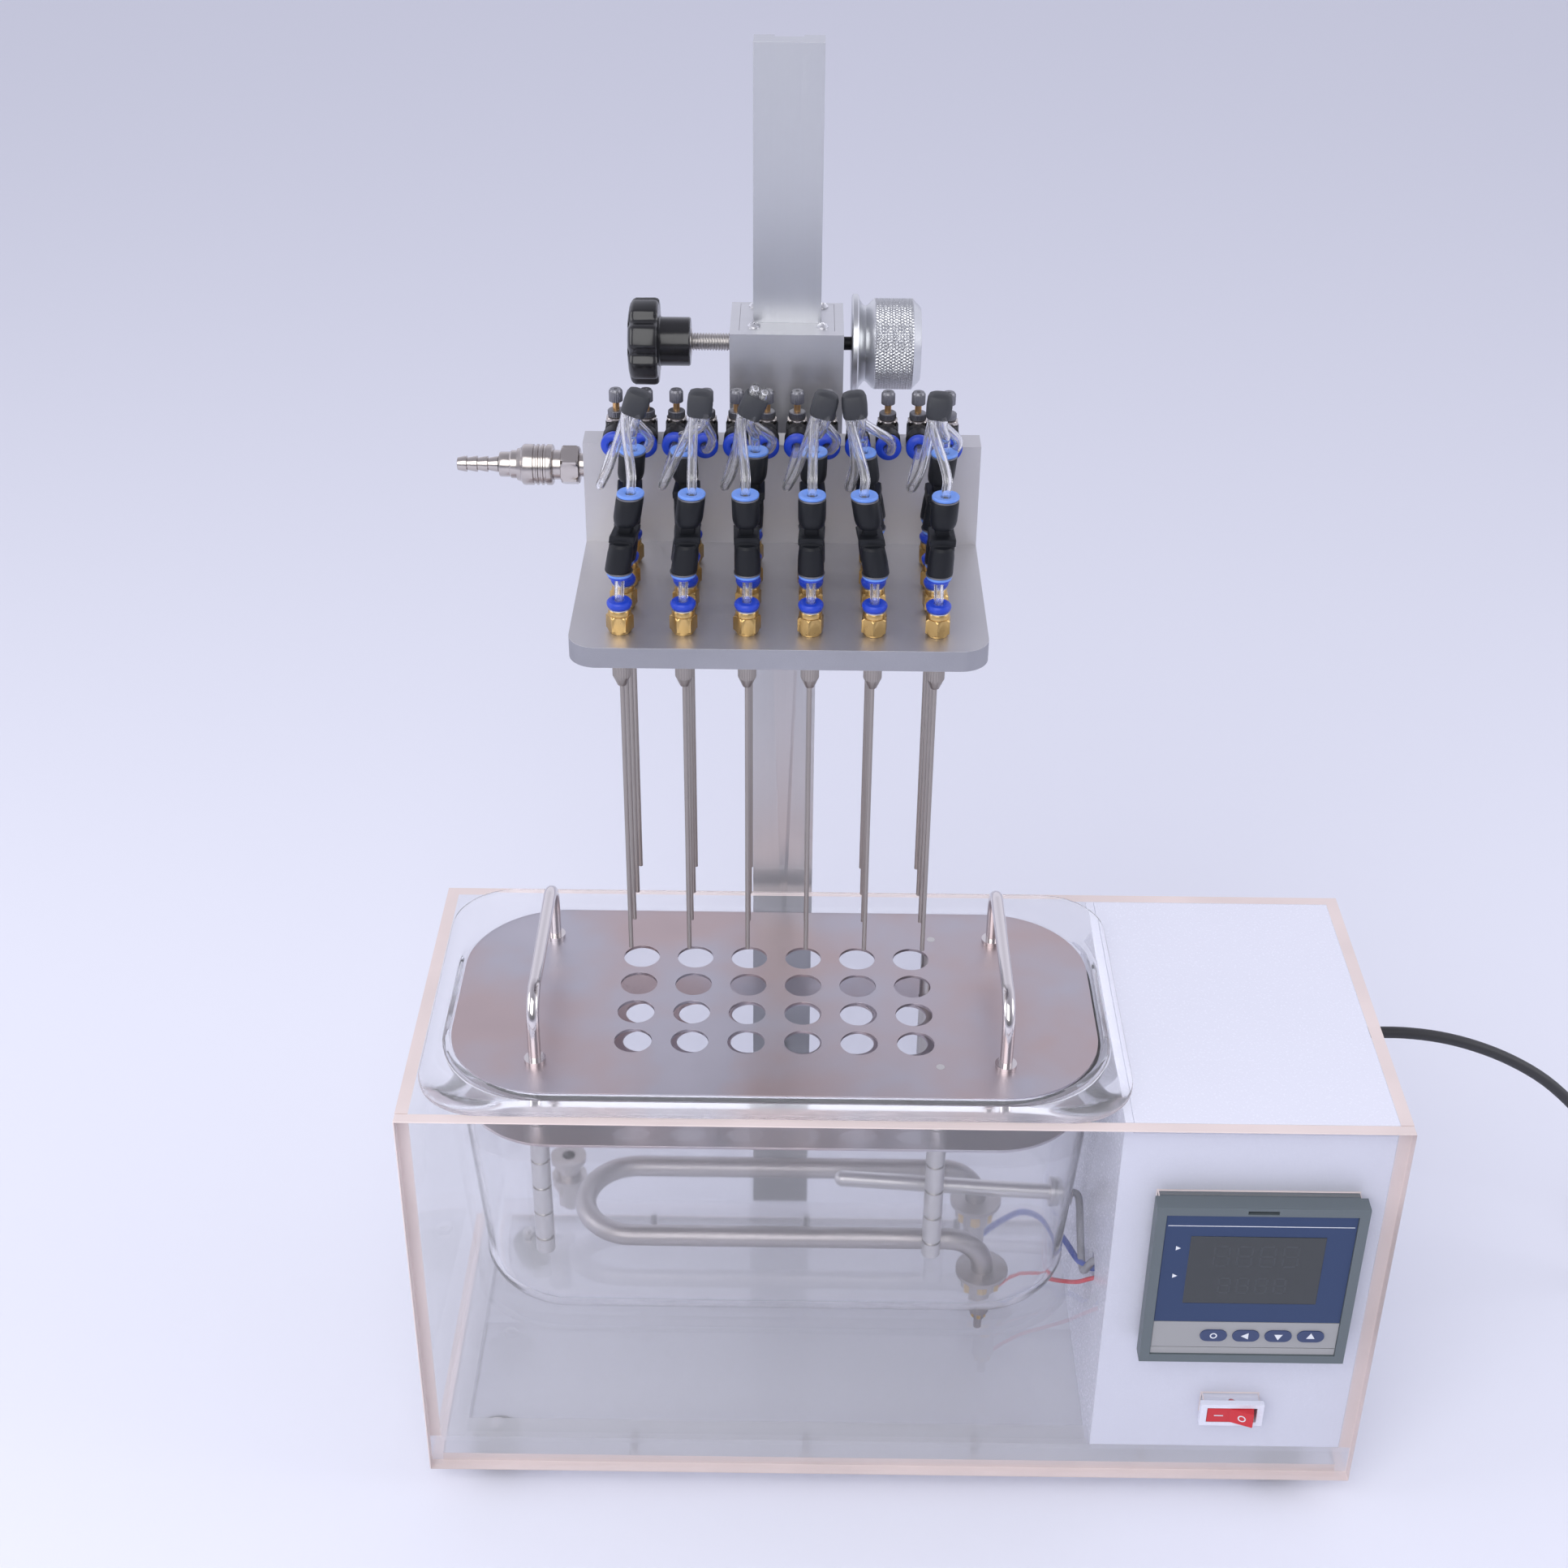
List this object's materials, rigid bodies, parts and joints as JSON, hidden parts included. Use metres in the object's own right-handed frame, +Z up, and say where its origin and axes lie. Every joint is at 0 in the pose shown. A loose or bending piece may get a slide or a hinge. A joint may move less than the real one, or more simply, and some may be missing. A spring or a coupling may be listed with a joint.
{
  "type": "nitrogen sample evaporator",
  "caption": "Clear heated water bath with a lift-out tube rack and a needle gas head that a rack and pinion raises on a column.",
  "frame": {"origin": "middle of the footprint of the object without its mains lead, on the bench plane under the feet", "axes": "+X to the operator's right, +Y away from the operator, +Z up"},
  "size_m": [0.7455, 0.2834, 0.6616],
  "materials": {
    "front_panel": "polished clear acrylic",
    "case_walls": "polished clear acrylic",
    "base_panel": "polished clear acrylic",
    "top_panel": "white acrylic",
    "control_liner": "white acrylic",
    "case_screws": "zinc plated",
    "feet": "black rubber",
    "bath_pan": "clear polycarbonate, slightly hazy",
    "heater": "stainless tube with brass nuts",
    "drain_fitting": "brass",
    "temperature_probe": "stainless sheath",
    "internal_leads": "insulated leads",
    "meter_case": "moulded housing",
    "key_set": "blue key",
    "key_left": "blue key",
    "key_down": "blue key",
    "key_up": "blue key",
    "switch_frame": "white",
    "switch_rocker": "red",
    "column": "satin bar",
    "lift_rack": "toothed rack",
    "cord_gland": "black nylon",
    "cord_lead": "black sheath",
    "cord_coil": "black sheath",
    "cord_plug": "moulded plug",
    "rack_plate": "brushed plate",
    "rack_shelf": "brushed plate",
    "rack_rods": "turned rods",
    "rack_handles": "chromed",
    "slide_block": "machined",
    "guide_plates": "machined",
    "head_screws": "cross-head screws",
    "manifold": "brushed bar",
    "needle_plate": "brushed plate",
    "valve_bodies": "black nylon",
    "lock_nuts": "nickel plated",
    "tube_unions": "black nylon",
    "release_collars": "blue",
    "tubing": "clear polyurethane",
    "tube_sleeves": "black sleeve",
    "brass_fittings": "brass",
    "needles": "stainless",
    "coupler_body": "nickel plated",
    "coupler_sleeve": "nickel plated",
    "hose_barb": "nickel plated",
    "clamp_knob": "black phenolic",
    "lift_knob": "satin, knurled",
    "pinion_shaft": "blackened steel",
    "valve_screw_01": "dark nickel, knurled",
    "valve_screw_02": "dark nickel, knurled",
    "valve_screw_03": "dark nickel, knurled",
    "valve_screw_04": "dark nickel, knurled",
    "valve_screw_05": "dark nickel, knurled",
    "valve_screw_06": "dark nickel, knurled",
    "valve_screw_07": "dark nickel, knurled",
    "valve_screw_08": "dark nickel, knurled",
    "valve_screw_09": "dark nickel, knurled",
    "valve_screw_10": "dark nickel, knurled",
    "valve_screw_11": "dark nickel, knurled",
    "valve_screw_12": "dark nickel, knurled"
  },
  "bodies": {
    "cabinet": {"front_panel": "front_panel", "case_walls": "case_walls", "base_panel": "base_panel", "top_panel": "top_panel", "control_liner": "control_liner", "case_screws": "case_screws", "feet": "feet", "bath_pan": "bath_pan", "heater": "heater", "drain_fitting": "drain_fitting", "temperature_probe": "temperature_probe", "internal_leads": "internal_leads", "meter_case": "meter_case", "switch_frame": "switch_frame", "column": "column", "lift_rack": "lift_rack", "cord_gland": "cord_gland", "cord_lead": "cord_lead", "cord_coil": "cord_coil", "cord_plug": "cord_plug"},
    "key_set": {"key_set": "key_set"},
    "key_left": {"key_left": "key_left"},
    "key_down": {"key_down": "key_down"},
    "key_up": {"key_up": "key_up"},
    "rocker": {"switch_rocker": "switch_rocker"},
    "tube_rack": {"rack_plate": "rack_plate", "rack_shelf": "rack_shelf", "rack_rods": "rack_rods", "rack_handles": "rack_handles"},
    "head": {"slide_block": "slide_block", "guide_plates": "guide_plates", "head_screws": "head_screws", "manifold": "manifold", "needle_plate": "needle_plate", "valve_bodies": "valve_bodies", "lock_nuts": "lock_nuts", "tube_unions": "tube_unions", "release_collars": "release_collars", "tubing": "tubing", "tube_sleeves": "tube_sleeves", "brass_fittings": "brass_fittings", "needles": "needles", "coupler_body": "coupler_body"},
    "clamp": {"clamp_knob": "clamp_knob"},
    "lift": {"lift_knob": "lift_knob", "pinion_shaft": "pinion_shaft"},
    "inlet_sleeve": {"coupler_sleeve": "coupler_sleeve"},
    "hose_tail": {"hose_barb": "hose_barb"},
    "valve_01": {"valve_screw_01": "valve_screw_01"},
    "valve_02": {"valve_screw_02": "valve_screw_02"},
    "valve_03": {"valve_screw_03": "valve_screw_03"},
    "valve_04": {"valve_screw_04": "valve_screw_04"},
    "valve_05": {"valve_screw_05": "valve_screw_05"},
    "valve_06": {"valve_screw_06": "valve_screw_06"},
    "valve_07": {"valve_screw_07": "valve_screw_07"},
    "valve_08": {"valve_screw_08": "valve_screw_08"},
    "valve_09": {"valve_screw_09": "valve_screw_09"},
    "valve_10": {"valve_screw_10": "valve_screw_10"},
    "valve_11": {"valve_screw_11": "valve_screw_11"},
    "valve_12": {"valve_screw_12": "valve_screw_12"}
  },
  "joints": [
    {"name": "head_lift", "type": "slide", "parent": "cabinet", "child": "head", "axis": [0, 0, 1], "range_m": [-0.15, 0.1]},
    {"name": "lift_turn", "type": "hinge", "parent": "head", "child": "lift", "pos_m": [-0.02, 0.09405, 0.5244], "axis": [1, 0, 0], "range_deg": [-1795, 1199]},
    {"name": "clamp_turn", "type": "hinge", "parent": "head", "child": "clamp", "pos_m": [-0.1, 0.0822, 0.529], "axis": [1, 0, 0], "range_deg": [-180, 180]},
    {"name": "rack_lift", "type": "slide", "parent": "cabinet", "child": "tube_rack", "axis": [0, 0, 1], "range_m": [0, 0.12]},
    {"name": "rocker_tilt", "type": "hinge", "parent": "cabinet", "child": "rocker", "pos_m": [0.1636, -0.10705, 0.0621], "axis": [0, 0, 1], "range_deg": [0, 20]},
    {"name": "key_set_press", "type": "slide", "parent": "cabinet", "child": "key_set", "axis": [0, 1, 0], "range_m": [0, 0.0005], "stiffness_N_per_m": 600},
    {"name": "key_left_press", "type": "slide", "parent": "cabinet", "child": "key_left", "axis": [0, 1, 0], "range_m": [0, 0.0005], "stiffness_N_per_m": 600},
    {"name": "key_down_press", "type": "slide", "parent": "cabinet", "child": "key_down", "axis": [0, 1, 0], "range_m": [0, 0.0005], "stiffness_N_per_m": 600},
    {"name": "key_up_press", "type": "slide", "parent": "cabinet", "child": "key_up", "axis": [0, 1, 0], "range_m": [0, 0.0005], "stiffness_N_per_m": 600},
    {"name": "inlet_sleeve_slide", "type": "slide", "parent": "head", "child": "inlet_sleeve", "axis": [1, 0, 0], "range_m": [0, 0.003], "stiffness_N_per_m": 800},
    {"name": "hose_tail_pull", "type": "slide", "parent": "head", "child": "hose_tail", "axis": [-1, 0, 0], "range_m": [0, 0.02]},
    {"name": "valve_turn_01", "type": "hinge", "parent": "head", "child": "valve_01", "pos_m": [-0.12993, 0.0431, 0.519], "axis": [0, 0, 1], "range_deg": [-1440, 1440]},
    {"name": "valve_turn_02", "type": "hinge", "parent": "head", "child": "valve_02", "pos_m": [-0.11678, 0.0431, 0.519], "axis": [0, 0, 1], "range_deg": [-1440, 1440]},
    {"name": "valve_turn_03", "type": "hinge", "parent": "head", "child": "valve_03", "pos_m": [-0.10362, 0.0431, 0.519], "axis": [0, 0, 1], "range_deg": [-1440, 1440]},
    {"name": "valve_turn_04", "type": "hinge", "parent": "head", "child": "valve_04", "pos_m": [-0.09047, 0.0431, 0.519], "axis": [0, 0, 1], "range_deg": [-1440, 1440]},
    {"name": "valve_turn_05", "type": "hinge", "parent": "head", "child": "valve_05", "pos_m": [-0.07733, 0.0431, 0.519], "axis": [0, 0, 1], "range_deg": [-1440, 1440]},
    {"name": "valve_turn_06", "type": "hinge", "parent": "head", "child": "valve_06", "pos_m": [-0.06417, 0.0431, 0.519], "axis": [0, 0, 1], "range_deg": [-1440, 1440]},
    {"name": "valve_turn_07", "type": "hinge", "parent": "head", "child": "valve_07", "pos_m": [-0.05103, 0.0431, 0.519], "axis": [0, 0, 1], "range_deg": [-1440, 1440]},
    {"name": "valve_turn_08", "type": "hinge", "parent": "head", "child": "valve_08", "pos_m": [-0.03787, 0.0431, 0.519], "axis": [0, 0, 1], "range_deg": [-1440, 1440]},
    {"name": "valve_turn_09", "type": "hinge", "parent": "head", "child": "valve_09", "pos_m": [-0.02473, 0.0431, 0.519], "axis": [0, 0, 1], "range_deg": [-1440, 1440]},
    {"name": "valve_turn_10", "type": "hinge", "parent": "head", "child": "valve_10", "pos_m": [-0.01158, 0.0431, 0.519], "axis": [0, 0, 1], "range_deg": [-1440, 1440]},
    {"name": "valve_turn_11", "type": "hinge", "parent": "head", "child": "valve_11", "pos_m": [0.00158, 0.0431, 0.519], "axis": [0, 0, 1], "range_deg": [-1440, 1440]},
    {"name": "valve_turn_12", "type": "hinge", "parent": "head", "child": "valve_12", "pos_m": [0.01473, 0.0431, 0.519], "axis": [0, 0, 1], "range_deg": [-1440, 1440]}
  ],
  "couplings": [
    {"joint": "lift_turn", "follows": "head_lift", "rad_per_m": 208.33}
  ]
}
